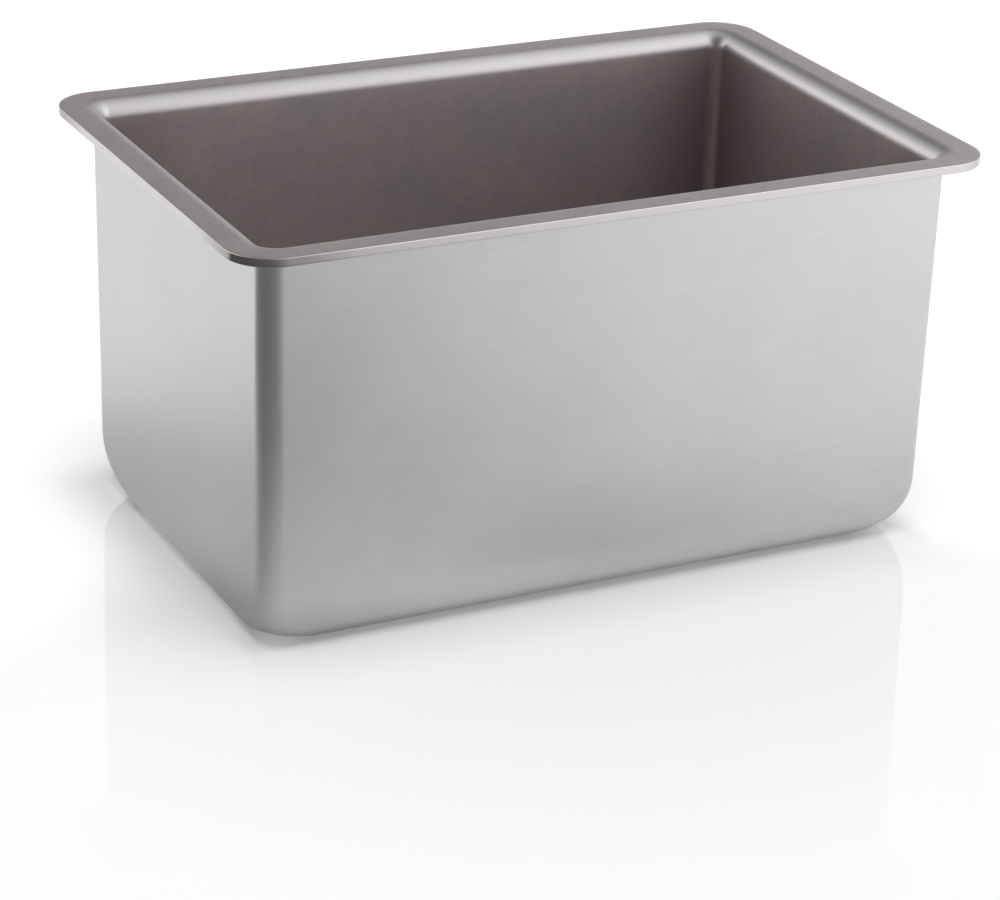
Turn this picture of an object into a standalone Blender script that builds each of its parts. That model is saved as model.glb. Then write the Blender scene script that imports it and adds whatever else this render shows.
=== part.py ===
"""Deep rye bread pan: a drawn metal shell with a flat flange, and the non-stick layer that lines it.

Metres, +Z up. The origin is at the middle of the footprint, on the surface that the pan stands on.
The length runs along X and the width along Y.
"""
import math

import bmesh
import bpy

# Whole pan
RIM_LENGTH = 0.2250
RIM_WIDTH = 0.1467
PAN_HEIGHT = 0.1173

# Sheet and coating
METAL_THICKNESS = 0.0017
LINING_THICKNESS = 0.0004
FIT_GAP = 0.0003

# Flange and lip
RIM_OVERHANG = 0.0090
RIM_CORNER_RADIUS = 0.0127
LIP_UNDERSIDE_RADIUS = 0.0028
METAL_EDGE_ROUND = 0.0003

# Walls
WALL_DRAFT = 0.0008
WALL_CORNER_RADIUS = 0.0038

# Rounding between the walls and the floor, measured in the cavity
FLOOR_ROUND_HEIGHT = 0.0158
SIDE_ROUND_WIDTH = 0.0082
END_ROUND_WIDTH = 0.0027
FLOOR_CORNER_RADIUS = 0.0225

# Smoothness of the rounded stretches
CORNER_STEPS = 8
FLOOR_ROUND_STEPS = 8
LIP_STEPS = 6
EDGE_STEPS = 3
SHARP_ANGLE = math.radians(40)
BEVEL_ANGLE = math.radians(60)

# Worked out from the sizes above
STACK = METAL_THICKNESS + FIT_GAP + LINING_THICKNESS
UNDERSIDE_HEIGHT = PAN_HEIGHT - STACK
WALL_HALF_LENGTH = RIM_LENGTH / 2 - RIM_OVERHANG
WALL_HALF_WIDTH = RIM_WIDTH / 2 - RIM_OVERHANG

METAL_LOOK = ((0.56, 0.56, 0.56, 1.0), 0.35, 1.0)
LINING_LOOK = ((0.16, 0.145, 0.145, 1.0), 0.4, 0.2)


def remove_everything():
    """Empty the scene, so that the script can be run again."""
    for item in list(bpy.data.objects):
        bpy.data.objects.remove(item, do_unlink=True)


def make_collection(name):
    """A fresh collection of this name in the scene."""
    old = bpy.data.collections.get(name)
    if old:
        bpy.data.collections.remove(old)
    collection = bpy.data.collections.new(name)
    bpy.context.scene.collection.children.link(collection)
    return collection


def make_material(name, look):
    """A plain Principled material from a colour, a roughness and a metallic value."""
    colour, roughness, metallic = look
    material = bpy.data.materials.new(name)
    material.use_nodes = True
    shader = material.node_tree.nodes["Principled BSDF"]
    shader.inputs["Base Color"].default_value = colour
    shader.inputs["Roughness"].default_value = roughness
    shader.inputs["Metallic"].default_value = metallic
    material.diffuse_color = colour
    return material


def wall_lean(height):
    """How far the wall stands in from its place at the flange, because of the draft."""
    return WALL_DRAFT * (1 - height / UNDERSIDE_HEIGHT)


def section(out_length, out_width, height, radius):
    """A level section, given by how far it lies outside the walls' outer faces at the flange."""
    return WALL_HALF_LENGTH + out_length, WALL_HALF_WIDTH + out_width, height, radius


def floor_round_sections(depth):
    """Sections from the flat floor up to the straight wall, on a face this deep in the wall."""
    grow = STACK - depth
    wall_radius = WALL_CORNER_RADIUS + grow
    centre_height = FLOOR_ROUND_HEIGHT + STACK
    sections = []
    for step in range(FLOOR_ROUND_STEPS + 1):
        angle = math.pi / 2 * (1 - step / FLOOR_ROUND_STEPS)
        turned = 1 - math.cos(angle)
        height = centre_height - (FLOOR_ROUND_HEIGHT + grow) * math.sin(angle)
        inset = depth + wall_lean(height)
        end = inset + (END_ROUND_WIDTH + grow) * turned
        side = inset + (SIDE_ROUND_WIDTH + grow) * turned
        radius = wall_radius + (FLOOR_CORNER_RADIUS - wall_radius) * turned
        sections.append(section(-end, -side, height, radius))
    return sections


def lip_sections(depth):
    """Sections of the rounded lip, from the top of the wall to the start of the flat flange."""
    lip_centre_height = UNDERSIDE_HEIGHT - LIP_UNDERSIDE_RADIUS
    lip_radius = LIP_UNDERSIDE_RADIUS + depth
    sections = []
    for step in range(LIP_STEPS + 1):
        angle = math.pi / 2 * step / LIP_STEPS
        height = lip_centre_height + lip_radius * math.sin(angle)
        out = LIP_UNDERSIDE_RADIUS - lip_radius * math.cos(angle)
        lean = wall_lean(lip_centre_height) * math.cos(angle)
        sections.append(section(out - lean, out - lean, height, WALL_CORNER_RADIUS + STACK + out))
    return sections


def edge_section(stand_in, height):
    """The outline of the flange, standing in from the pan's rim by this much."""
    out = RIM_OVERHANG - stand_in
    return section(out, out, height, RIM_CORNER_RADIUS - stand_in)


def outline(half_length, half_width, height, radius):
    """Points round a level rectangle with rounded corners, anticlockwise from above."""
    points = []
    for corner, (sign_x, sign_y) in enumerate(((1, 1), (-1, 1), (-1, -1), (1, -1))):
        centre_x = sign_x * (half_length - radius)
        centre_y = sign_y * (half_width - radius)
        for step in range(CORNER_STEPS + 1):
            angle = math.pi / 2 * (corner + step / CORNER_STEPS)
            points.append((centre_x + radius * math.cos(angle), centre_y + radius * math.sin(angle), height))
    return points


def loft(name, sections):
    """An open surface through level sections, closed at the first one, facing into the cavity."""
    shape = bmesh.new()
    rings = [[shape.verts.new(point) for point in outline(*values)] for values in sections]
    shape.faces.new(rings[0])
    for inner, outer in zip(rings, rings[1:]):
        count = len(inner)
        for index in range(count):
            after = (index + 1) % count
            shape.faces.new((inner[index], outer[index], outer[after], inner[after]))
    mesh = bpy.data.meshes.new(name)
    shape.to_mesh(mesh)
    shape.free()
    mesh.shade_smooth()
    mesh.set_sharp_from_angle(angle=SHARP_ANGLE)
    return mesh


def add_object(name, mesh, collection, material):
    """An object for the mesh, in the pan's collection, with its material."""
    mesh.materials.append(material)
    item = bpy.data.objects.new(name, mesh)
    collection.objects.link(item)
    return item


def thicken(item, thickness, direction):
    """Give the open surface its wall, towards the cavity for 1 and away from it for -1."""
    wall = item.modifiers.new("wall", "SOLIDIFY")
    wall.thickness = thickness
    wall.offset = direction
    wall.use_even_offset = True


def round_edges(item, radius):
    """Round the edges that turn by a right angle."""
    rounding = item.modifiers.new("rounding", "BEVEL")
    rounding.width = radius
    rounding.segments = EDGE_STEPS
    rounding.limit_method = "ANGLE"
    rounding.angle_limit = BEVEL_ANGLE


def make_pan_body(collection):
    """The drawn metal shell: floor, walls, lip and flange in one sheet."""
    depth = METAL_THICKNESS
    sections = floor_round_sections(depth) + lip_sections(depth)
    sections.append(edge_section(LINING_THICKNESS + FIT_GAP, UNDERSIDE_HEIGHT + depth))
    material = make_material("satin_metal", METAL_LOOK)
    body = add_object("pan_body", loft("pan_body", sections), collection, material)
    thicken(body, METAL_THICKNESS, -1)
    round_edges(body, METAL_EDGE_ROUND)
    return body


def make_nonstick_lining(collection):
    """The non-stick layer: it lies over the whole inside and wraps the flange's outer edge."""
    depth = METAL_THICKNESS + FIT_GAP
    sections = floor_round_sections(depth) + lip_sections(depth)
    sections.append(edge_section(LINING_THICKNESS, UNDERSIDE_HEIGHT + depth))
    sections.append(edge_section(LINING_THICKNESS, UNDERSIDE_HEIGHT))
    material = make_material("nonstick_coating", LINING_LOOK)
    lining = add_object("nonstick_lining", loft("nonstick_lining", sections), collection, material)
    round_edges(lining, METAL_EDGE_ROUND + FIT_GAP)
    thicken(lining, LINING_THICKNESS, 1)
    return lining


def main():
    """Build the pan."""
    remove_everything()
    collection = make_collection("rye_bread_pan")
    make_pan_body(collection)
    make_nonstick_lining(collection)


main()
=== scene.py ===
"""Deep rye bread pan in a plain studio: the satin metal shell and the non-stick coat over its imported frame.

Metres, +Z up, in the frame's own coordinates. The pan stands at the origin with its length along X.
"""
import math

import bmesh
import bpy
from bpy.props import FloatProperty, FloatVectorProperty, IntProperty, PointerProperty
from mathutils import Matrix, Vector


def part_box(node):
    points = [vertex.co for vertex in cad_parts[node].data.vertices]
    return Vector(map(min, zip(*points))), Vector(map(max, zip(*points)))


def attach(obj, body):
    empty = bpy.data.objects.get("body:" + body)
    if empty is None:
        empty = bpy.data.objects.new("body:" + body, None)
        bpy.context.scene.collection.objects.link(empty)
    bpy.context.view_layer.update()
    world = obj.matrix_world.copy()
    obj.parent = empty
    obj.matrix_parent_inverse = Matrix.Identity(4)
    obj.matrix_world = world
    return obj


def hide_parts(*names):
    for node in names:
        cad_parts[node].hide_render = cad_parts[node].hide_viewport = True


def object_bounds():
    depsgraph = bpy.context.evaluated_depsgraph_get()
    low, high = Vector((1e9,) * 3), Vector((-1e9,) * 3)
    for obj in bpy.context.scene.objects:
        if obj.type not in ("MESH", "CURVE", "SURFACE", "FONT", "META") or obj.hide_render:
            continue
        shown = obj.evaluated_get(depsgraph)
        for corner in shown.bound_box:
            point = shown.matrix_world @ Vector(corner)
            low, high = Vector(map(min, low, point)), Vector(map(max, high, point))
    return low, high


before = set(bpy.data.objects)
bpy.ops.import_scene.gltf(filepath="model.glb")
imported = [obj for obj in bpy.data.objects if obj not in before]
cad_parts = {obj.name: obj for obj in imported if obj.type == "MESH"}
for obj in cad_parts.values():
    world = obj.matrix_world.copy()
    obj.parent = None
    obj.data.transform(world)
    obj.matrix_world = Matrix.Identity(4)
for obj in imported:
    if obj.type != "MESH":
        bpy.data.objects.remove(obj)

CAD_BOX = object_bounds()
PAN_LOW, PAN_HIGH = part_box("nonstick_lining")
SHELL_NAME = "pan_shell"
COAT_NAME = "nonstick_coat"

bl_info = {
    "name": "Rye Bread Pan",
    "version": (1, 0, 0),
    "blender": (4, 5, 0),
    "location": "View3D > Sidebar > Bread Pan",
    "description": "Builds a deep loaf pan with a non-stick coat, and the studio round it",
    "category": "Object",
}


def mm(value):
    """A length given in millimetres, in metres."""
    return value / 1000


def adjustable(kind, label, description, default, **limits):
    """A value that the user can change."""
    return kind(name=label, description=description, default=default, **limits)


def length(label, description, default):
    """A length that the user can change."""
    return adjustable(FloatProperty, label, description, default, min=0.0, precision=5, unit="LENGTH")


def count(label, description, default):
    """A number of steps that the user can change."""
    return adjustable(IntProperty, label, description, default, min=1)


def share(label, description, default, high=1.0):
    """A plain number that the user can change."""
    return adjustable(FloatProperty, label, description, default, min=0.0, max=high)


def angle(label, description, degrees):
    """An angle that the user can change."""
    return adjustable(FloatProperty, label, description, math.radians(degrees), min=0.0, subtype="ANGLE")


def colour(label, description, default):
    """A linear colour that the user can change."""
    limits = {"size": 3, "min": 0.0, "max": 1.0, "subtype": "COLOR"}
    return adjustable(FloatVectorProperty, label, description, default, **limits)


class PanSizes(bpy.types.PropertyGroup):
    """Lengths of the pan, and how finely its rounded stretches are divided."""

    rim_length: length("Rim Length", "Length over the flange", PAN_HIGH.x - PAN_LOW.x)
    rim_width: length("Rim Width", "Width over the flange", PAN_HIGH.y - PAN_LOW.y)
    height: length("Height", "Height over the flange", CAD_BOX[1].z - CAD_BOX[0].z)
    overhang: length("Flange Overhang", "How far the flange stands out from the walls", mm(9.0))
    rim_corner: length("Rim Corner Radius", "Radius of the flange's corners seen from above", mm(12.7))
    sheet: length("Sheet Thickness", "Thickness of the metal under the coat", mm(2.0))
    coat: length("Coat Thickness", "Thickness of the non-stick coat", mm(0.4))
    seat: length("Coat Seat", "Gap that keeps the coat and the metal apart", mm(0.02))
    lip_radius: length("Lip Radius", "Radius under the flange where the wall turns outwards", mm(2.8))
    draft: length("Wall Draft", "How much the wall leans in at its foot", mm(0.8))
    wall_corner: length("Wall Corner Radius", "Radius of the cavity's upright corners", mm(3.8))
    foot_height: length("Foot Round Height", "Height of the rounding between wall and floor", mm(15.8))
    foot_side: length("Foot Round at Sides", "Width of that rounding at the long sides", mm(8.2))
    foot_end: length("Foot Round at Ends", "Width of that rounding at the ends", mm(2.7))
    foot_corner: length("Foot Corner Radius", "Radius of the floor's corners seen from above", mm(22.5))
    edge_top: length("Edge Top Round", "Radius along the top of the flange's edge", mm(0.15))
    edge_under: length("Edge Underside Round", "Radius along the underside of the flange's edge", mm(0.35))
    corner_steps: count("Corner Steps", "Faces round one corner", 24)
    length_steps: count("Length Steps", "Faces along one long side", 24)
    width_steps: count("Width Steps", "Faces along one end", 16)
    floor_steps: count("Floor Steps", "Faces from the middle of the floor to its edge", 6)
    foot_steps: count("Foot Steps", "Faces up the rounding between floor and wall", 14)
    wall_steps: count("Wall Steps", "Faces up the straight wall", 12)
    lip_steps: count("Lip Steps", "Faces over the rounded lip", 14)
    flange_steps: count("Flange Steps", "Faces across the flat flange", 4)
    edge_steps: count("Edge Steps", "Faces round each side of the flange's edge", 5)


class MetalFinish(bpy.types.PropertyGroup):
    """Look of the bare satin metal."""

    base: colour("Metal Colour", "Colour of the bare metal", (0.585, 0.585, 0.585))
    roughness: share("Metal Roughness", "How soft the metal's reflections are", 0.34)
    grain: share("Metal Grain", "Strength of the fine grain lines", 0.5)
    grain_width: length("Grain Line Width", "Width of one grain line", mm(0.18))
    grain_length: length("Grain Line Length", "Length of one grain line", mm(14.0))
    cloud_size: length("Cloud Size", "Size of the faint clouds in the metal", mm(30.0))
    fresh: colour("Fresh Metal Colour", "Colour of the metal in nicks and scratches", (0.80, 0.80, 0.80))


class CoatFinish(bpy.types.PropertyGroup):
    """Look of the non-stick coat."""

    base: colour("Coat Colour", "Colour of the non-stick coat", (0.545, 0.474, 0.472))
    cool: colour("Cool Coat Colour", "Colour of the coat's cooler patches", (0.512, 0.468, 0.476))
    metallic: share("Coat Metal Share", "How much of the coat is metal pigment", 0.80)
    roughness: share("Coat Roughness", "How soft the coat's reflections are", 0.40)
    lip: colour("Lip Colour", "Colour of the coat where the lip is rubbed", (0.446, 0.434, 0.436))
    edge: colour("Edge Colour", "Colour of the thin coat on the flange's cut edge", (0.60, 0.575, 0.57))
    # Painted shade: near its left corners the flange's cut edge is painted this darker brown.
    edge_corner_shade: colour("Thick Edge Colour", "Colour of the edge near its left corners", (0.385, 0.345, 0.345))
    edge_roughness: share("Edge Roughness", "How soft the cut edge's reflections are", 0.15)
    # Painted shade: the cavity's coat is painted darker near its upright corners, up to this reach.
    corner_shade_reach: length("Corner Reach", "How far from a corner the cavity's coat is thicker", mm(46.0))
    rim_corner: length("Rim Corner", "Length of the rim's edge that its corner takes up", mm(12.7))
    # Painted shade: beside the left corners the cut edge keeps the darker painted colour over this reach.
    edge_shade_reach: length("Edge Reach", "How far beside a corner the cut edge is thickly coated", mm(24.0))
    speck_size: length("Speck Spacing", "Distance between the coat's fine specks", mm(1.6))
    mottle_size: length("Mottle Size", "Size of the coat's warm and cool patches", mm(22.0))
    peel_size: length("Peel Size", "Size of the coat's fine orange-peel ripples", mm(1.1))


class StudioSetup(bpy.types.PropertyGroup):
    """Floor, lamps and camera."""

    floor: colour("Floor Colour", "Colour of the pale floor", (0.98, 0.98, 0.98))
    floor_size: length("Floor Size", "Side of the square floor", 24.0)
    # Painted reflection: the dark card that only reflections see.
    card: colour("Card Colour", "Colour of the dark card that reflections see", (0.14, 0.14, 0.14))
    reflector: share("Right Reflector", "Light of the front right reflector in reflections", 0.30)
    left_reflector: share("Left Reflector", "Light of the left reflector in reflections", 0.09)
    polish: share("Floor Polish", "How much of a mirror the floor is under the pan", 0.043)
    polish_reach: length("Polish Reach", "How far the floor's polish reaches from the pan's middle", 0.285)
    polish_light: share("Polish Light", "Brightness of what only the floor's polish mirrors", 5.0, 20.0)
    contact: share("Contact Glow", "Faint glow of the floor under the rounded foot", 0.165)
    corner_contact: share("Corner Contact Glow", "Added glow of the floor under the foot's corners", 0.60)
    left_clean: share("Left Clean Glow", "Faint glow of the floor at the pan's left and behind it", 0.18)
    right_clean: share("Right Clean Glow", "Faint glow of the floor at the pan's right", 0.12)
    card_size: length("Card Size", "Side of the surface that holds the dark card", 6.0)
    air: share("Air Light", "Strength of the plain light from all round", 0.38, 5.0)
    overhead: share("Overhead Light", "What a white floor shows of the light from above it", 0.63, 5.0)
    overhead_width: angle("Overhead Width", "How wide the light above the floor looks", 42)
    key: share("Key Light", "What a white level surface would show of the pan's own light", 0.63, 5.0)
    key_width: angle("Key Width", "How wide the pan's own light looks", 50)
    tent: share("Tent Light", "Plain brightness of the light tent in reflections", 0.991, 5.0)
    tent_radius: length("Tent Radius", "Radius of the light tent", 8.0)
    distance: length("Camera Distance", "Distance from the camera to its target", 0.97851)
    lens: share("Lens", "Focal length in millimetres on a 36 mm wide sensor", 120.8, 500.0)


# Points of a piece's skin that lie closer than this become one, in metres
MERGE_DISTANCE = 1e-6

# Hairline scratches: turns round X, Y and Z in degrees, length, and the number of the pattern
METAL_SCRATCHES = (((0, 7, 4), mm(50), 2), ((0, -16, 63), mm(36), 31))
COAT_SCRATCHES = (((0, 12, 21), mm(45), 12), ((0, 68, -8), mm(35), 19))

# Rounded rectangles on the floor round the pan's middle: half length, half width and corner radius
FOOT_LINE = (0.0976, 0.0530, 0.0225)
WALL_LINE = (0.1027, 0.0635, 0.0062)
STAND_LINE = (0.100, 0.062, 0.0)

# Where the added glow under the foot's corners starts along X and along Y, and the way over which it grows
FOOT_CORNERS = (0.080, 0.038)
FOOT_CORNER_WAY = 0.018

# The floor's clean glow by direction, in degrees from straight behind the pan, positive to the left: where it
# starts at the right, changes to the left one and has ended, each with the degrees that it takes. Last comes
# the way from the pan over which it grows at the right, and what the left adds to that
CLEAN_START = (-130, 14)
CLEAN_CHANGE = (-60, 120)
CLEAN_END = (106, 26)
CLEAN_REACH = (0.010, 0.012)

# Where the tent's light departs from plain: azimuth and elevation in degrees, change of brightness, focus
TENT = (
    (329, 24.5, 1.94, 3.8),
    (73, 38, -1.05, 7.0),
    (224, 44, -1.29, 3.4),
    (147, 8, 2.1, 6.6),
    (0, 20, -0.95, 12.0),
)
DIMMEST_TENT = 0.03

# The dark card on the floor, a painted reflection that only reflections see: the azimuth of its middle and its
# height. The rest counts directions in degrees from its middle, positive to the right, and distances in metres
# from the pan: its soft sides, where it starts, how that shifts from which direction over how many degrees,
# the way over which it grows dark, and how dim the floor beside the pan is and how far, which is painted shade
CARD_AZIMUTH = 219
CARD_HEIGHT = 0.0005
CARD_LEFT_SIDE = (-61, 9)
CARD_RIGHT_SIDE = (60, 75)
CARD_START = -0.036
CARD_START_LEFT = (0.075, -20, 40)
CARD_START_RIGHT = (0.026, -20, 60)
CARD_DEPTH = 0.206
DIM_FLOOR = (0.12, 0.14)

# Where the card's painted reflection is darker still: amount, direction, spread of that, distance, spread of
# that
DARK_SPOTS = (
    (0.42, 60, 34, 0.038, 0.030),
    (0.44, -18, 20, 0.000, 0.090),
    (0.34, -25, 30, 0.080, 0.045),
    (0.08, -78, 20, 0.070, 0.045),
    (0.36, -62, 20, 0.042, 0.024),
)

# The reflectors on the card: direction, spread of that, and the way over which they come in
RIGHT_REFLECTOR = (83, 67, 0.4)
LEFT_REFLECTOR = (-95, 38, 0.1)

# Directions of the lights, as azimuth and elevation in degrees
OVERHEAD_PLACE = (257, 76)
KEY_PLACE = (335, 62)

# The camera's turn from the pan's long side, its elevation and roll in degrees, and the point it looks at
CAMERA_ANGLES = (-27.0426, 23.5239, 1.8911)
CAMERA_TARGET = (-0.00162, 0, 0.01902)
SENSOR_WIDTH = 36

GROUPS = {
    "rye_pan_sizes": PanSizes,
    "rye_pan_metal": MetalFinish,
    "rye_pan_coat": CoatFinish,
    "rye_pan_studio": StudioSetup,
}


class Value:
    """A number that leaves a node. Sums written with it add Math nodes to its tree."""

    def __init__(self, tree, socket):
        self.tree = tree
        self.socket = socket

    def __add__(self, other):
        return self.tree.sum("ADD", self, other)

    def __radd__(self, other):
        return self.tree.sum("ADD", other, self)

    def __sub__(self, other):
        return self.tree.sum("SUBTRACT", self, other)

    def __rsub__(self, other):
        return self.tree.sum("SUBTRACT", other, self)

    def __mul__(self, other):
        return self.tree.sum("MULTIPLY", self, other)

    def __rmul__(self, other):
        return self.tree.sum("MULTIPLY", other, self)

    def __truediv__(self, other):
        return self.tree.sum("DIVIDE", self, other)

    def __rtruediv__(self, other):
        return self.tree.sum("DIVIDE", other, self)

    def __mod__(self, other):
        return self.tree.sum("FLOORED_MODULO", self, other)

    def __pow__(self, other):
        return self.tree.sum("POWER", self, other)

    def __rpow__(self, other):
        return self.tree.sum("POWER", other, self)

    def __neg__(self):
        return self.tree.sum("MULTIPLY", self, -1.0)


class Tree:
    """A node tree that is filled by plain calls."""

    def __init__(self, nodes):
        self.nodes = nodes

    def add(self, kind, settings=None, values=None):
        """Add a node of this type: its settings are made first, then its sockets are filled or linked."""
        node = self.nodes.nodes.new(kind)
        for name, setting in (settings or {}).items():
            setattr(node, name, setting)
        for name, value in (values or {}).items():
            self.fill(self.socket(node.inputs, name), value)
        return node

    def socket(self, sockets, name):
        """The socket of this name, number or identifier."""
        if isinstance(name, str) and name not in sockets:
            return next(socket for socket in sockets if socket.identifier == name)
        return sockets[name]

    def fill(self, socket, value):
        """Link a value to a socket, or set the socket to a constant."""
        if isinstance(value, Value):
            value = value.socket
        if isinstance(value, bpy.types.NodeSocket):
            self.nodes.links.new(value, socket)
        else:
            socket.default_value = value

    def value(self, node, output=0):
        """The node's output as a value for sums."""
        return Value(self, node.outputs[output])

    def sum(self, operation, *values):
        """A Math node."""
        return self.value(self.add("ShaderNodeMath", {"operation": operation}, dict(enumerate(values))))

    def clamp(self, value):
        """The value held between 0 and 1."""
        return self.value(self.add("ShaderNodeClamp", None, {"Value": value}))

    def colour(self, red, green, blue):
        """A colour of these levels."""
        return self.add("ShaderNodeCombineColor", None, {0: red, 1: green, 2: blue}).outputs[0]

    def grey(self, level):
        """A grey of this level."""
        return self.colour(level, level, level)

    def mix(self, factor, first, second):
        """A colour that runs from the first to the second."""
        return self.blend("MIX", factor, first, second)

    def blend(self, kind, factor, first, second):
        """A colour blended with another in this way."""
        inks = [ink if isinstance(ink, bpy.types.NodeSocket) else (*ink, 1) for ink in (first, second)]
        values = {"Factor_Float": factor, "A_Color": inks[0], "B_Color": inks[1]}
        node = self.add("ShaderNodeMix", {"data_type": "RGBA", "blend_type": kind}, values)
        return self.socket(node.outputs, "Result_Color")

    def scaled(self, tint, amount):
        """The colour times this amount."""
        return self.blend("MULTIPLY", 1, tint, (amount, amount, amount))

    def in_units(self, place, sizes, shift):
        """The place measured in these sizes along X, Y and Z, moved by the shift to pick another pattern."""
        values = {0: place, 1: [1 / size for size in sizes], 2: (shift, shift, shift)}
        return self.add("ShaderNodeVectorMath", {"operation": "MULTIPLY_ADD"}, values).outputs[0]

    def noise(self, place, sizes, detail=2.0, shift=0.0):
        """Soft random patches from 0 to 1, of these sizes along X, Y and Z."""
        values = {"Vector": self.in_units(place, sizes, shift), "Scale": 1.0, "Detail": detail}
        return self.value(self.add("ShaderNodeTexNoise", None, values), "Fac")

    def patches(self, place, size, detail=2.0, shift=0.0):
        """Soft random patches from 0 to 1, of the same size every way."""
        return self.noise(place, (size, size, size), detail, shift)

    def dots(self, place, spacing, radius, amount, shift=0.0):
        """Small round dots: 1 inside them and 0 elsewhere. The amount is the share of places that has one."""
        values = {"Vector": self.in_units(place, (spacing, spacing, spacing), shift), "Scale": 1.0}
        cells = self.add("ShaderNodeTexVoronoi", None, values)
        chance = self.value(self.add("ShaderNodeSeparateColor", None, {0: cells.outputs["Color"]}))
        soft = self.clamp((radius / spacing - self.value(cells, "Distance")) * (spacing / radius * 2))
        return soft * self.sum("LESS_THAN", chance, amount)

    def hairlines(self, place, turned, length, width, shift=0.0):
        """A few thin straight scratches along one direction: 1 on a scratch and 0 elsewhere."""
        rotation = [math.radians(angle) for angle in turned]
        mapped = self.add("ShaderNodeMapping", None, {"Vector": place, "Rotation": rotation})
        ridges = self.noise(mapped.outputs[0], (length, width * 4, width * 4), 0.0, shift)
        steepness, cut_off = 12, 9.2
        return self.clamp(ridges * steepness - cut_off)

    def scratches(self, place, table, width):
        """The hairline scratches of a table with two directions."""
        made = [self.hairlines(place, turned, length, width, shift) for turned, length, shift in table]
        return self.sum("MAXIMUM", *made)

    def axes(self, vector):
        """The X, Y and Z of a vector."""
        parts = self.add("ShaderNodeSeparateXYZ", None, {0: vector})
        return [self.value(parts, axis) for axis in "XYZ"]

    def object_place(self):
        """Where a point lies in its object's own coordinates."""
        return self.add("ShaderNodeTexCoord").outputs["Object"]

    def zone(self, name):
        """The zone of this name that the piece carries, from 0 to 1."""
        return self.value(self.add("ShaderNodeAttribute", {"attribute_name": name}), "Fac")

    def relief(self, shader, height):
        """Give the shader's surface this height in metres."""
        bump = self.add("ShaderNodeBump", None, {"Distance": 1.0, "Height": height})
        self.fill(shader.inputs["Normal"], bump.outputs[0])

    def show(self, shader):
        """Let the material's surface be this shader."""
        self.fill(self.nodes.nodes["Material Output"].inputs["Surface"], shader.outputs[0])

    def sine(self, turns):
        """Sine of a share of a quarter turn."""
        return self.sum("SINE", turns * (math.pi / 2))

    def cosine(self, turns):
        """Cosine of a share of a quarter turn."""
        return self.sum("COSINE", turns * (math.pi / 2))


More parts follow.
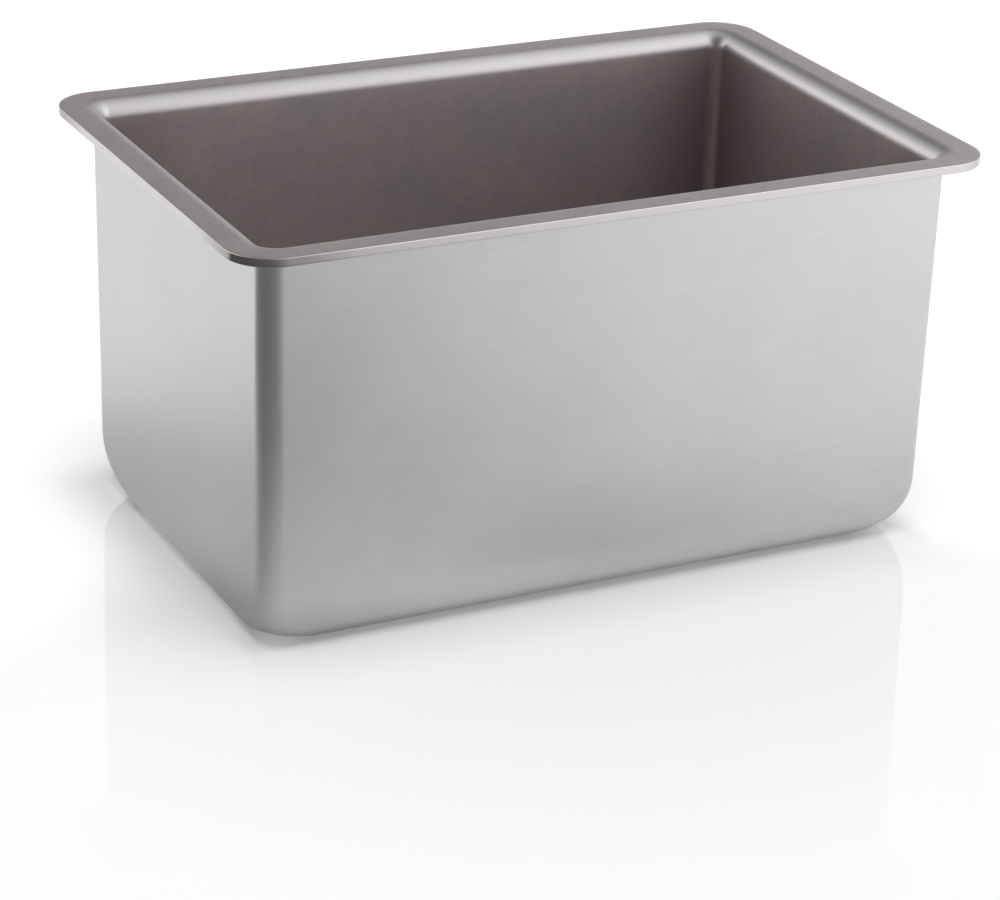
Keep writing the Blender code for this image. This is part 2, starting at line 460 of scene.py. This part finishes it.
class PanTree(Tree):
    """The Geometry Nodes tree that lofts one closed skin of the pan from bands of level outlines."""

    def __init__(self, name, sizes):
        super().__init__(bpy.data.node_groups.new(name, "GeometryNodeTree"))
        interface = self.nodes.interface
        interface.new_socket("Skin", in_out="OUTPUT", socket_type="NodeSocketGeometry")
        self.identifiers = {}
        for key in PanSizes.__annotations__:
            prop = sizes.bl_rna.properties[key]
            kind = "NodeSocketInt" if prop.type == "INT" else "NodeSocketFloat"
            socket = interface.new_socket(prop.name, in_out="INPUT", socket_type=kind)
            self.identifiers[key] = socket.identifier
        finish = interface.new_socket("Finish", in_out="INPUT", socket_type="NodeSocketMaterial")
        self.identifiers["finish"] = finish.identifier
        inputs = self.add("NodeGroupInput").outputs
        self.size = {key: Value(self, socket) for key, socket in zip(self.identifiers, inputs)}
        self.bands = []
        self.find_places_round_pan()
        self.find_shared_sizes()

    def find_places_round_pan(self):
        """Where each point of a band is: its row, and its direction round the rounded rectangle."""
        size = self.size
        index = self.value(self.add("GeometryNodeInputIndex"))
        half_turn = 2 * size["corner_steps"] + size["length_steps"] + size["width_steps"]
        self.round_points = 2 * half_turn + 1
        self.row = self.sum("FLOOR", index / self.round_points)
        place = index % self.round_points
        second_half = self.sum("FLOOR", place / half_turn) % 2.0
        place = place % half_turn
        first_corner = self.clamp(place / size["corner_steps"])
        place = place - size["corner_steps"]
        along_side = self.clamp(place / size["length_steps"])
        place = place - size["length_steps"]
        second_corner = self.clamp(place / size["corner_steps"])
        place = place - size["corner_steps"]
        along_end = self.clamp(place / size["width_steps"])
        turns = first_corner + second_corner
        self.sign = 1 - 2 * second_half
        self.turned_x = self.cosine(turns)
        self.turned_y = self.sine(turns)
        self.centre_x = 1 - 2 * self.eased(along_side)
        self.centre_y = 1 - 2 * self.eased(along_end)

    def find_shared_sizes(self):
        """Sizes that several bands need."""
        size = self.size
        self.stack = size["sheet"] + size["coat"]
        self.underside = size["height"] - self.stack
        self.lip_start = self.underside - size["lip_radius"]
        self.foot_top = size["foot_height"] + self.stack
        self.half_length = size["rim_length"] / 2 - size["overhang"]
        self.half_width = size["rim_width"] / 2 - size["overhang"]

    def eased(self, step):
        """A step from 0 to 1 that is finer at both its ends."""
        return step * step * (3 - 2 * step)

    def lean(self, height):
        """How far the wall stands in at this height because of its draft."""
        return self.size["draft"] * (1 - height / self.underside)

    def band(self, rows, section, backwards=False, zone=None):
        """Add a band of faces. The section gives its outline for a step that runs from 0 to 1."""
        values = {"Vertices X": rows + 1, "Vertices Y": self.round_points}
        grid = self.add("GeometryNodeMeshGrid", None, values)
        step = self.row / rows
        half_length, half_width, height, radius = section(1 - step if backwards else step)
        x = self.sign * (self.centre_x * (half_length - radius) + self.turned_x * radius)
        y = self.sign * (self.centre_y * (half_width - radius) + self.turned_y * radius)
        point = self.add("ShaderNodeCombineXYZ", None, {"X": x, "Y": y, "Z": height})
        values = {"Geometry": grid.outputs["Mesh"], "Position": point.outputs[0]}
        band = self.add("GeometryNodeSetPosition", None, values)
        if zone is not None:
            name, amount = zone
            settings = {"data_type": "FLOAT", "domain": "POINT"}
            values = {"Geometry": band.outputs[0], "Name": name, "Value": amount(step)}
            band = self.add("GeometryNodeStoreNamedAttribute", settings, values)
        self.bands.append(band.outputs[0])

    def outward(self, out, height, radius):
        """An outline that stands out from the walls by this much."""
        return self.half_length + out, self.half_width + out, height, radius

    def foot_outline(self, depth, step):
        """Outline of the rounding between floor and wall, on a face this deep in the wall."""
        size = self.size
        grow = self.stack - depth
        turned = 1 - self.sine(step)
        height = self.foot_top - (size["foot_height"] + grow) * self.cosine(step)
        inset = depth + self.lean(height)
        end = inset + (size["foot_end"] + grow) * turned
        side = inset + (size["foot_side"] + grow) * turned
        wall_radius = size["wall_corner"] + grow
        radius = wall_radius + (size["foot_corner"] - wall_radius) * turned
        return self.half_length - end, self.half_width - side, height, radius

    def floor_outline(self, depth, step):
        """Outline of the flat floor, which grows from a point in its middle."""
        half_length, half_width, height, radius = self.foot_outline(depth, step * 0.0)
        grown = step * (2 - step)
        return half_length * grown, half_width * grown, height, radius * grown

    def wall_outline(self, depth, step):
        """Outline of the straight wall."""
        height = self.foot_top + (self.lip_start - self.foot_top) * self.eased(step)
        radius = self.size["wall_corner"] + self.stack - depth
        return self.outward(-(depth + self.lean(height)), height, radius)

    def lip_outline(self, depth, step):
        """Outline of the rounded lip between wall and flange."""
        lip = self.size["lip_radius"]
        across = self.cosine(step)
        out = lip - (lip + depth) * across
        height = self.lip_start + (lip + depth) * self.sine(step)
        radius = self.size["wall_corner"] + self.stack + out
        return self.outward(out - self.lean(self.lip_start) * across, height, radius)

    def flange_outline(self, depth, stand_in, step):
        """Outline of the flat flange, which ends this far in from the rim."""
        start = self.size["lip_radius"]
        end = self.size["overhang"] - stand_in
        start_radius = self.size["wall_corner"] + self.stack + start
        end_radius = self.size["rim_corner"] - stand_in
        out = start + (end - start) * step
        return self.outward(out, self.underside + depth, start_radius + (end_radius - start_radius) * step)

    def edge_outline(self, stand_in, height):
        """Outline along the flange's edge."""
        return self.outward(self.size["overhang"] - stand_in, height, self.size["rim_corner"] - stand_in)

    def wall_bands(self, depth, stand_in, backwards, lip_zone=None):
        """The five bands of one face of the sheet, from the middle of the floor to the flange's edge."""
        size = self.size
        made = [
            (size["floor_steps"], lambda step: self.floor_outline(depth, step), None),
            (size["foot_steps"], lambda step: self.foot_outline(depth, step), None),
            (size["wall_steps"], lambda step: self.wall_outline(depth, step), None),
            (size["lip_steps"], lambda step: self.lip_outline(depth, step), lip_zone),
            (size["flange_steps"], lambda step: self.flange_outline(depth, stand_in, step), None),
        ]
        for rows, section, zone in reversed(made) if backwards else made:
            self.band(rows, section, backwards, zone)

    def edge_bands(self, depth, stand_in, top, under, thinned=False):
        """The flange's edge: its rounded top, its upright face and its rounded underside."""
        rows = self.size["edge_steps"]
        high = self.underside + depth

        def top_round(step):
            height = high - top * (1 - self.cosine(step))
            return self.edge_outline(stand_in + top * (1 - self.sine(step)), height)

        def face(step):
            return self.edge_outline(stand_in, high - top + (self.underside + under - high + top) * step)

        def under_round(step):
            height = self.underside + under * (1 - self.sine(step))
            return self.edge_outline(stand_in + under * (1 - self.cosine(step)), height)

        thinning = ("thin_coat", lambda step: step) if thinned else None
        thin = ("thin_coat", lambda step: step * 0.0 + 1) if thinned else None
        self.band(rows, top_round, zone=thinning)
        self.band(rows, face, zone=thin)
        self.band(rows, under_round, zone=thin)

    def close(self):
        """Join the bands into one skin with the finish on it."""
        joined = self.add("GeometryNodeJoinGeometry")
        for band in self.bands:
            self.nodes.links.new(band, joined.inputs[0])
        values = {"Geometry": joined.outputs[0], "Distance": MERGE_DISTANCE}
        merged = self.add("GeometryNodeMergeByDistance", None, values)
        smooth = self.add("GeometryNodeSetShadeSmooth", None, {"Geometry": merged.outputs[0]})
        real = self.add("GeometryNodeRealizeInstances", None, {"Geometry": smooth.outputs[0]})
        values = {"Geometry": real.outputs[0], "Material": self.size["finish"]}
        finished = self.add("GeometryNodeSetMaterial", None, values)
        self.add("NodeGroupOutput", None, {"Skin": finished.outputs[0]})


def shell_tree(sizes):
    """The metal: its face under the coat, its thin edge, and its outside."""
    tree = PanTree("Drawn Metal Shell", sizes)
    size = tree.size
    depth = size["sheet"] - size["seat"]
    stand_in = size["coat"] + size["seat"]
    rounding = size["edge_under"] / 2
    tree.wall_bands(depth, stand_in + rounding, False)
    tree.edge_bands(depth, stand_in, rounding, rounding)
    tree.wall_bands(size["seat"] * 0.0, stand_in + rounding, True)
    tree.close()
    return tree


def coat_tree(sizes):
    """The coat: its visible face, its hem round the flange's edge, and its face on the metal."""
    tree = PanTree("Non-Stick Coat", sizes)
    size = tree.size
    hem = size["edge_under"] * 0.6
    tree.wall_bands(tree.stack, size["edge_top"], False, ("lip_rub", lambda step: tree.sine(2 * step)))
    tree.edge_bands(tree.stack, size["seat"] * 0.0, size["edge_top"], hem, True)
    tree.band(1, lambda step: tree.edge_outline(hem + (size["coat"] - hem) * step, tree.underside))
    tree.band(1, lambda step: tree.edge_outline(size["coat"], tree.underside + size["sheet"] * step))
    tree.wall_bands(size["sheet"], size["coat"], True)
    tree.close()
    return tree


def grow_piece(name, tree, sizes, finish):
    """The tree's shape as a plain mesh object at the origin."""
    grower = bpy.data.objects.new(name + "_grower", bpy.data.meshes.new(name + "_grower"))
    bpy.context.scene.collection.objects.link(grower)
    modifier = grower.modifiers.new("skin", "NODES")
    modifier.node_group = tree.nodes
    for key, identifier in tree.identifiers.items():
        modifier[identifier] = finish if key == "finish" else getattr(sizes, key)
    bpy.context.view_layer.update()
    evaluated = grower.evaluated_get(bpy.context.evaluated_depsgraph_get())
    mesh = bpy.data.meshes.new_from_object(evaluated)
    grower.modifiers.remove(modifier)
    bpy.data.objects.remove(grower)
    if not mesh.polygons:
        raise RuntimeError(f"the tree of {name} made no faces")
    mesh.name = name
    mesh.materials.clear()
    mesh.materials.append(finish)
    piece = bpy.data.objects.new(name, mesh)
    bpy.context.scene.collection.objects.link(piece)
    return piece


def fresh_material(name):
    """A new material and the tree of its nodes, with its Principled shader."""
    material = bpy.data.materials.new(name)
    material.use_nodes = True
    shader = material.node_tree.nodes["Principled BSDF"]
    return material, Tree(material.node_tree), shader


def mixed(factor, first, second):
    """A number that runs from the first to the second."""
    return first + (second - first) * factor


def swung(middle, *patterns):
    """A number that swings round its middle with each pattern, by the strength given with it."""
    for pattern, strength in patterns:
        middle = middle + (pattern - 0.5) * strength
    return middle


def darker(tint, amount):
    """The colour times the amount, which may be above 1."""
    return [min(level * amount, 1.0) for level in tint]


def satin_metal(finish):
    """Bare drawn metal: fine level grain, faint clouds, nicks and hairlines, burnished where it was bent."""
    material, tree, shader = fresh_material("satin_drawn_metal")
    place = tree.object_place()
    normal = tree.add("ShaderNodeTexCoord").outputs["Normal"]
    facing_x, facing_y, facing_z = (tree.sum("ABSOLUTE", part) for part in tree.axes(normal))
    level = smooth(tree, facing_z * 4 - 2.4)
    bent = tree.clamp(facing_x * facing_y * 3 + facing_z * (1 - facing_z) * 3)

    def lines(length, width, *pattern):
        """Fine lines that run level round the walls, and along the pan on level faces."""
        on_walls = tree.noise(place, (length, length, width), *pattern)
        return mixed(level, on_walls, tree.noise(place, (length, width, length), *pattern))

    grain = lines(finish.grain_length, finish.grain_width)
    streaks = lines(finish.grain_length * 3, finish.grain_width * 5, 3.0, 3)
    clouds = tree.patches(place, finish.cloud_size, 3.0, 11)
    patches = tree.patches(place, finish.cloud_size * 0.3, 3.0, 23)
    nicks = tree.dots(place, mm(9), mm(0.28), 0.5)
    pits = tree.dots(place, mm(5), mm(0.22), 0.35, 5)
    scratches = tree.scratches(place, METAL_SCRATCHES, mm(0.14)) * (1 - tree.sum("MINIMUM", bent * 1.5, 0.85))

    strength = finish.grain
    shade = swung(0.5, (grain, strength), (streaks, strength * 0.7), (clouds, 0.9), (patches, 0.5))
    tint = tree.mix(tree.clamp(shade), darker(finish.base, 0.95), darker(finish.base, 1.05))
    tint = tree.mix(tree.clamp(nicks * 0.4 + scratches * 0.13), tint, finish.fresh)
    tree.fill(shader.inputs["Base Color"], tree.mix(pits * 0.3, tint, darker(finish.base, 0.55)))
    rough = swung(finish.roughness, (grain, strength * 0.10), (clouds, 0.06), (patches, 0.04))
    tree.fill(shader.inputs["Roughness"], rough - 0.04 * bent - 0.06 * scratches + 0.05 * nicks)
    shader.inputs["Metallic"].default_value = 1
    grain_height, streak_height, cloud_height = mm(0.0016) * strength, mm(0.003) * strength, mm(0.035)
    tree.relief(shader, grain * grain_height + streaks * streak_height + clouds * cloud_height)
    return material


def nonstick_coating(finish):
    """Semi-gloss brown-grey coat with metal pigment, rubbed over the lip and thin on the cut edge, with
    painted shade towards the cavity's upright corners and on the cut edge near its left corners.
    """
    material, tree, shader = fresh_material("brown_nonstick_film")
    place = tree.object_place()
    wide = tree.patches(place, finish.mottle_size, 3.0, 4)
    small = tree.patches(place, finish.mottle_size * 0.22, 3.0, 9)
    fine = tree.patches(place, finish.mottle_size * 0.08, 2.0, 27)
    peel = tree.patches(place, finish.peel_size, 2.0, 15)
    flakes = tree.dots(place, finish.speck_size, finish.speck_size * 0.11, 0.5)
    dust = tree.dots(place, finish.speck_size * 3.5, finish.speck_size * 0.13, 0.4, 6)
    scratches = tree.scratches(place, COAT_SCRATCHES, mm(0.16))

    x, y, z = tree.axes(place)
    in_x = PAN_HIGH.x - tree.sum("ABSOLUTE", x)
    in_y = PAN_HIGH.y - tree.sum("ABSOLUTE", y)
    from_corner = tree.sum("SQRT", in_x * in_x + in_y * in_y)
    # Painted shade: below the flange the coat darkens towards each upright corner of the cavity.
    corner_shade = smooth(tree, (finish.corner_shade_reach - from_corner) / (finish.corner_shade_reach * 0.62))
    painted_corner_shade = corner_shade * tree.sum("LESS_THAN", z, PAN_HIGH.z - mm(0.8))
    patchy = 0.86 + 0.28 * small
    rubbed = tree.clamp(tree.zone("lip_rub") * patchy)
    edge = tree.clamp(tree.zone("thin_coat") * patchy)
    # Painted shade: near the left corners the cut edge stays dark; the right half and the rest of the edge
    # take the light edge colour.
    along = tree.sum("MAXIMUM", in_x, in_y) - finish.rim_corner
    right_half = tree.clamp(x / PAN_HIGH.x * 2)
    thin = edge * smooth(tree, along / finish.edge_shade_reach + (small - 0.5) * 0.3 + right_half)

    tint = tree.mix(tree.clamp(swung(0.5, (wide, 1.6), (small, 0.8))), finish.cool, finish.base)
    cloudy = tree.clamp(swung(0.5, (small, 1.2), (wide, 0.6), (fine, 1.8)))
    tint = tree.mix(cloudy, tree.scaled(tint, 0.90), tree.scaled(tint, 1.03))
    # Painted shade in the cavity's corners.
    tint = tree.mix(painted_corner_shade, tint, darker(finish.base, 0.74))
    tint = tree.mix(rubbed, tint, finish.lip)
    # Painted shade on the cut edge near its left corners.
    tint = tree.mix(edge, tint, finish.edge_corner_shade)
    tint = tree.mix(thin, tint, finish.edge)
    tint = tree.mix(tree.clamp(flakes * 0.10 + scratches * 0.14), tint, finish.edge)
    tree.fill(shader.inputs["Base Color"], tree.mix(dust * 0.35, tint, darker(finish.base, 0.5)))
    tree.fill(shader.inputs["Metallic"], mixed(edge, finish.metallic, 1))
    rough = mixed(edge, finish.roughness, finish.edge_roughness)
    tree.fill(shader.inputs["Roughness"], swung(rough, (wide, 0.05), (small, 0.05)) - 0.05 * scratches)
    tree.relief(shader, peel * mm(0.010) + small * mm(0.018))
    return material


def make_card(name, side, height):
    """A square stage surface at this height, with the tree and the shader of its material."""
    corners = [(x * side / 2, y * side / 2, height) for x, y in ((-1, -1), (1, -1), (1, 1), (-1, 1))]
    mesh = bpy.data.meshes.new(name)
    mesh.from_pydata(corners, [], [(0, 1, 2, 3)])
    card = bpy.data.objects.new(name, mesh)
    bpy.context.scene.collection.objects.link(card)
    material, tree, shader = fresh_material(name)
    mesh.materials.append(material)
    shader.inputs["Roughness"].default_value = 1
    shader.inputs["Emission Strength"].default_value = 1
    return card, tree, shader


def make_floor(setup):
    """The plain pale floor: matt, with a faint polish round the pan that mirrors it."""
    tree, matt = make_card("studio_floor", setup.floor_size, 0)[1:]
    matt.inputs["Specular IOR Level"].default_value = 0
    x, y = tree.axes(tree.object_place())[:2]
    far = smooth(tree, tree.sum("SQRT", x * x + y * y) / setup.polish_reach)
    polish = (1 - far) * setup.polish
    tint = [level * (1 - polish * setup.polish_light) / (1 - polish) for level in setup.floor]
    tree.fill(matt.inputs["Base Color"], tree.colour(*tint))
    glow = contact_glow(tree, x, y, setup) + clean_glow(tree, x, y, setup)
    tree.fill(matt.inputs["Emission Color"], tree.grey(glow))
    mirror = tree.add("ShaderNodeBsdfGlossy", None, {"Roughness": 0.03})
    tree.show(tree.add("ShaderNodeMixShader", None, {0: polish, 1: matt.outputs[0], 2: mirror.outputs[0]}))


def outside(tree, x, y, line):
    """How far a place on the floor lies outside a rounded rectangle. Inside it this is negative."""
    half_length, half_width, radius = line
    out_x = tree.sum("ABSOLUTE", x) - (half_length - radius)
    out_y = tree.sum("ABSOLUTE", y) - (half_width - radius)
    inside = tree.sum("MINIMUM", tree.sum("MAXIMUM", out_x, out_y), 0.0)
    out_x = tree.sum("MAXIMUM", out_x, 0.0)
    out_y = tree.sum("MAXIMUM", out_y, 0.0)
    return tree.sum("SQRT", out_x * out_x + out_y * out_y) + inside - radius


def contact_glow(tree, x, y, setup):
    """Faint glow of the floor under the pan's rounded foot, so that the shadow there doesn't go black."""
    from_foot = tree.sum("MAXIMUM", outside(tree, x, y, FOOT_LINE), 0.0)
    to_wall = tree.sum("MAXIMUM", -outside(tree, x, y, WALL_LINE), 0.0)
    way_out = from_foot / (from_foot + to_wall + 0.0001)
    corner = way_out * (1 - way_out)
    for value, start in zip((x, y), FOOT_CORNERS):
        corner = corner * smooth(tree, (tree.sum("ABSOLUTE", value) - start) / FOOT_CORNER_WAY)
    return (1 - smooth(tree, way_out)) * setup.contact + corner * setup.corner_contact


def clean_glow(tree, x, y, setup):
    """Faint glow of the floor beside and behind the pan, so that the shadow there stays close to it."""
    away = tree.sum("MAXIMUM", outside(tree, x, y, STAND_LINE), 0.0)
    turn = tree.sum("ARCTAN2", -x, y) * (180 / math.pi)
    from_right = smooth(tree, (turn - CLEAN_START[0]) / CLEAN_START[1])
    at_left = smooth(tree, (turn - CLEAN_CHANGE[0]) / CLEAN_CHANGE[1])
    to_left = smooth(tree, (CLEAN_END[0] - turn) / CLEAN_END[1])
    near = smooth(tree, away / (CLEAN_REACH[0] + CLEAN_REACH[1] * at_left))
    return mixed(at_left, setup.right_clean, setup.left_clean) * near * from_right * to_left


def make_dome(name, radius, lit):
    """A sphere round the studio that only the named objects mirror, with the tree of its material."""
    mesh = bpy.data.meshes.new(name)
    shape = bmesh.new()
    bmesh.ops.create_uvsphere(shape, u_segments=48, v_segments=24, radius=radius)
    shape.to_mesh(mesh)
    shape.free()
    dome = bpy.data.objects.new(name, mesh)
    bpy.context.scene.collection.objects.link(dome)
    material, tree, shader = fresh_material(name)
    tree.nodes.nodes.remove(shader)
    mesh.materials.append(material)
    only_in_reflections(dome)
    dome.light_linking.receiver_collection = gather(name, lit)
    return tree


def make_polish_dome(setup):
    """The bright surroundings that only the floor's polish shows."""
    tree = make_dome("polish_dome", setup.tent_radius * 0.95, ("studio_floor",))
    glow = tree.add("ShaderNodeEmission", None, {"Strength": setup.polish_light})
    clear = tree.add("ShaderNodeBsdfTransparent")
    tree.show(tree.add("ShaderNodeAddShader", None, {0: glow.outputs[0], 1: clear.outputs[0]}))


def heading(azimuth, elevation):
    """Unit vector of a direction in degrees: azimuth anticlockwise from +X, elevation up from the floor."""
    azimuth, elevation = math.radians(azimuth), math.radians(elevation)
    flat = math.cos(elevation)
    return math.cos(azimuth) * flat, math.sin(azimuth) * flat, math.sin(elevation)


def smooth(tree, value):
    """The value held between 0 and 1, with soft ends."""
    held = tree.clamp(value)
    return held * held * (3 - 2 * held)


def soft_spot(turn, away, amount, towards, spread, distance, reach):
    """A soft spot on the floor, by its direction and its distance from the pan and its spread in both."""
    off_turn = (turn - towards) / spread
    off_away = (away - distance) / reach
    return amount * math.e ** (-(off_turn * off_turn) - off_away * off_away)


def reflector(tree, turn, away, towards, spread, reach):
    """How much a place on the floor belongs to a white reflector in this direction."""
    return smooth(tree, away / reach) * math.e ** (-(turn - towards) * (turn - towards) / spread ** 2)


def painted_reflection_darkness(tree, turn, away):
    """How dark the card on the floor is, a painted reflection: its soft-sided middle, the darker spots, and
    painted shade on the floor beside the pan.
    """
    to_left, left, left_way = CARD_START_LEFT
    to_right, right, right_way = CARD_START_RIGHT
    start = CARD_START + to_left * tree.clamp((left - turn) / left_way)
    start = start + to_right * tree.clamp((turn - right) / right_way)
    wide = smooth(tree, (turn - CARD_LEFT_SIDE[0]) / CARD_LEFT_SIDE[1] + 0.5)
    wide = wide * smooth(tree, (CARD_RIGHT_SIDE[0] - turn) / CARD_RIGHT_SIDE[1] + 0.5)
    wide = wide * smooth(tree, (away - start) / CARD_DEPTH)
    # Painted shade: the card is dimmer close to the pan.
    clear = (1 - wide) * (1 - DIM_FLOOR[0] * (1 - smooth(tree, away / DIM_FLOOR[1])))
    for spot in DARK_SPOTS:
        clear = clear * (1 - soft_spot(turn, away, *spot))
    return 1 - clear


def make_dark_card(setup):
    """The floor as reflections see it, with a painted reflection: a soft-edged dark card at the pan's front
    left.
    """
    card, tree, shader = make_card("low_card", setup.card_size, CARD_HEIGHT)
    only_in_reflections(card)
    x, y = tree.axes(tree.object_place())[:2]
    to_x, to_y, _ = heading(CARD_AZIMUTH, 0)
    turn = tree.sum("ARCTAN2", y * to_x - x * to_y, x * to_x + y * to_y) * (180 / math.pi)
    away = tree.sum("MAXIMUM", outside(tree, x, y, STAND_LINE), 0.0)
    tree.fill(shader.inputs["Base Color"], tree.mix(painted_reflection_darkness(tree, turn, away), setup.floor, setup.card))
    glow = reflector(tree, turn, away, *RIGHT_REFLECTOR) * setup.reflector
    glow = glow + reflector(tree, turn, away, *LEFT_REFLECTOR) * setup.left_reflector
    tree.fill(shader.inputs["Emission Color"], tree.grey(glow + contact_glow(tree, x, y, setup)))
    back = tree.add("ShaderNodeNewGeometry").outputs["Backfacing"]
    unseen = tree.add("ShaderNodeBsdfTransparent")
    tree.show(tree.add("ShaderNodeMixShader", None, {0: back, 1: shader.outputs[0], 2: unseen.outputs[0]}))


def make_tent(setup):
    """The light tent as the pan mirrors it, brighter and darker by direction."""
    tree = make_dome("light_tent", setup.tent_radius, (SHELL_NAME, COAT_NAME))
    unit = tree.add("ShaderNodeVectorMath", {"operation": "NORMALIZE"}, {0: tree.object_place()})
    light = setup.tent
    for azimuth, elevation, change, focus in TENT:
        values = {0: unit.outputs[0], 1: heading(azimuth, elevation)}
        towards = tree.add("ShaderNodeVectorMath", {"operation": "DOT_PRODUCT"}, values)
        light = light + change * math.e ** (focus * (tree.value(towards, "Value") - 1))
    light = tree.sum("MAXIMUM", light, DIMMEST_TENT)
    tree.show(tree.add("ShaderNodeEmission", None, {"Color": tree.grey(light)}))


def only_in_reflections(item):
    """Let reflections see this stage object, and nothing else."""
    item.visible_camera = False
    item.visible_diffuse = False
    item.visible_transmission = False
    item.visible_volume_scatter = False
    item.visible_shadow = False


def make_air(setup):
    """Plain white light from all round."""
    world = bpy.data.worlds.new("studio_air")
    bpy.context.scene.world = world
    world.use_nodes = True
    background = world.node_tree.nodes["Background"]
    background.inputs["Color"].default_value = (1, 1, 1, 1)
    background.inputs["Strength"].default_value = setup.air


def make_sun(name, place, level, width, lit):
    """A wide soft light from far away for the named objects. A level white surface shows its level."""
    data = bpy.data.lights.new(name, "SUN")
    data.energy = level * math.pi / place[2]
    data.angle = width
    lamp = bpy.data.objects.new(name, data)
    bpy.context.scene.collection.objects.link(lamp)
    lamp.visible_glossy = False
    lamp.light_linking.receiver_collection = gather(name, lit)
    aim(lamp, place, (0, 0, 0))


def gather(name, members):
    """A collection of the named objects, outside the scene, for a light to shine on."""
    receivers = bpy.data.collections.new(name + "_receivers")
    for member in members:
        receivers.objects.link(bpy.data.objects[member])
    return receivers


def aim(thing, place, target, roll=0.0):
    """Put a lamp or camera in its place, looking at the target."""
    turned = (Vector(target) - Vector(place)).to_track_quat("-Z", "Y").to_matrix().to_4x4()
    thing.matrix_world = Matrix.Translation(place) @ turned @ Matrix.Rotation(roll, 4, "Z")


def make_camera(setup):
    """The camera at the photograph's viewing angle."""
    data = bpy.data.cameras.new("camera")
    data.lens = setup.lens
    data.sensor_width = SENSOR_WIDTH
    data.clip_start = 0.01
    data.clip_end = 100
    camera = bpy.data.objects.new("camera", data)
    bpy.context.scene.collection.objects.link(camera)
    turn, elevation, roll = CAMERA_ANGLES
    target = Vector(CAMERA_TARGET)
    aim(camera, target + Vector(heading(turn - 90, elevation)) * setup.distance, target, math.radians(roll))
    bpy.context.scene.camera = camera


class PanOperator(bpy.types.Operator):
    """Shared settings of the operators."""

    bl_options = {"REGISTER", "UNDO"}


class RYEPAN_OT_metal_shell(PanOperator):
    """Build the drawn metal shell."""

    bl_idname = "ryepan.metal_shell"
    bl_label = "Metal Shell"

    def execute(self, context):
        sizes = context.scene.rye_pan_sizes
        piece = grow_piece(SHELL_NAME, shell_tree(sizes), sizes, satin_metal(context.scene.rye_pan_metal))
        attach(piece, "root")
        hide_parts("pan_body")
        return {"FINISHED"}


class RYEPAN_OT_nonstick_coat(PanOperator):
    """Build the non-stick coat over the shell's inside, lip, flange and edge."""

    bl_idname = "ryepan.nonstick_coat"
    bl_label = "Non-Stick Coat"

    def execute(self, context):
        sizes = context.scene.rye_pan_sizes
        piece = grow_piece(COAT_NAME, coat_tree(sizes), sizes, nonstick_coating(context.scene.rye_pan_coat))
        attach(piece, "root")
        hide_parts("nonstick_lining")
        return {"FINISHED"}


class RYEPAN_OT_studio(PanOperator):
    """Set up the floor, the lamps and the camera."""

    bl_idname = "ryepan.studio"
    bl_label = "Studio"

    def execute(self, context):
        setup = context.scene.rye_pan_studio
        context.scene.view_settings.view_transform = "Standard"
        make_floor(setup)
        make_polish_dome(setup)
        make_air(setup)
        make_dark_card(setup)
        make_tent(setup)
        floors, pieces = ("studio_floor", "low_card"), (SHELL_NAME, COAT_NAME)
        make_sun("overhead_light", heading(*OVERHEAD_PLACE), setup.overhead, setup.overhead_width, floors)
        make_sun("key_light", heading(*KEY_PLACE), setup.key, setup.key_width, pieces)
        make_camera(setup)
        return {"FINISHED"}


class RYEPAN_PT_panel(bpy.types.Panel):
    """The pan's operators and sizes in the sidebar."""

    bl_label = "Rye Bread Pan"
    bl_space_type = "VIEW_3D"
    bl_region_type = "UI"
    bl_category = "Bread Pan"

    def draw(self, context):
        for operator in OPERATORS:
            self.layout.operator(operator.bl_idname)
        for name, group in GROUPS.items():
            box = self.layout.box()
            for key in group.__annotations__:
                box.prop(getattr(context.scene, name), key)


OPERATORS = (RYEPAN_OT_metal_shell, RYEPAN_OT_nonstick_coat, RYEPAN_OT_studio)
CLASSES = (*GROUPS.values(), *OPERATORS, RYEPAN_PT_panel)


def register():
    """Make the classes known and give the scene its settings."""
    for item in CLASSES:
        bpy.utils.register_class(item)
    for name, group in GROUPS.items():
        setattr(bpy.types.Scene, name, PointerProperty(type=group))


def unregister():
    """Take the settings and the classes away again."""
    for name in GROUPS:
        delattr(bpy.types.Scene, name)
    for item in reversed(CLASSES):
        bpy.utils.unregister_class(item)


def main():
    """Build the pan and its studio."""
    register()
    bpy.ops.ryepan.metal_shell()
    bpy.ops.ryepan.nonstick_coat()
    bpy.ops.ryepan.studio()


if __name__ == "__main__":
    main()
